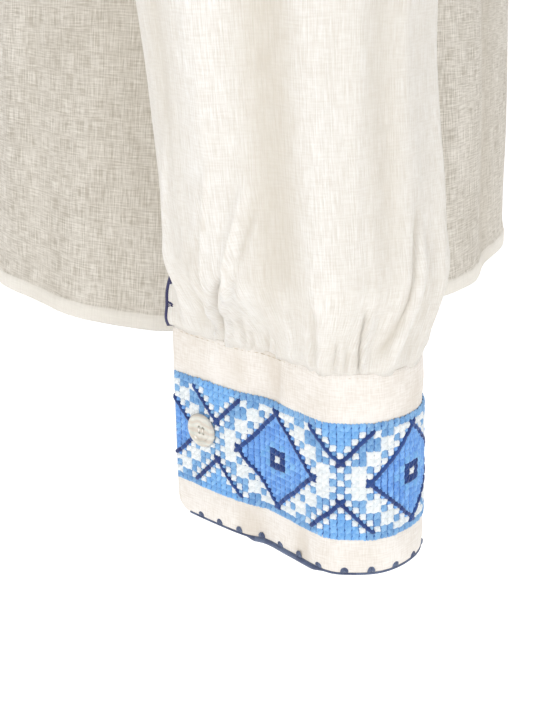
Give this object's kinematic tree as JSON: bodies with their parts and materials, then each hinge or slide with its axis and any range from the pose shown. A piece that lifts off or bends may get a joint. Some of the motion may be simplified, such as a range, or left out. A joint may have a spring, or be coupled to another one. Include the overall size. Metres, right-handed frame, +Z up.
{
  "type": "blouse",
  "caption": "Pull-on blouse of white cotton gauze with a round neck and full sleeves gathered into deep buttoned cuffs worked in blue cross stitch.",
  "frame": {"origin": "middle of the neck opening, at the height where the shoulder seams rest on the wearer", "axes": "+Z up when worn, -Y to the wearer's front, +X to the wearer's left"},
  "size_m": [0.5832, 0.2807, 0.6333],
  "materials": {
    "cotton_gauze": "off-white open cotton gauze, slubby and see-through at one layer",
    "cuff_cotton": "closer woven off-white cotton, two layers",
    "shell_button": "pearly cream"
  },
  "bodies": {
    "root": {"front": "cotton_gauze", "back": "cotton_gauze", "sleeve_right": "cotton_gauze", "sleeve_left": "cotton_gauze", "cuff_right": "cuff_cotton", "cuff_left": "cuff_cotton", "neck_band": "cuff_cotton", "button_right": "shell_button", "button_left": "shell_button"}
  },
  "joints": []
}
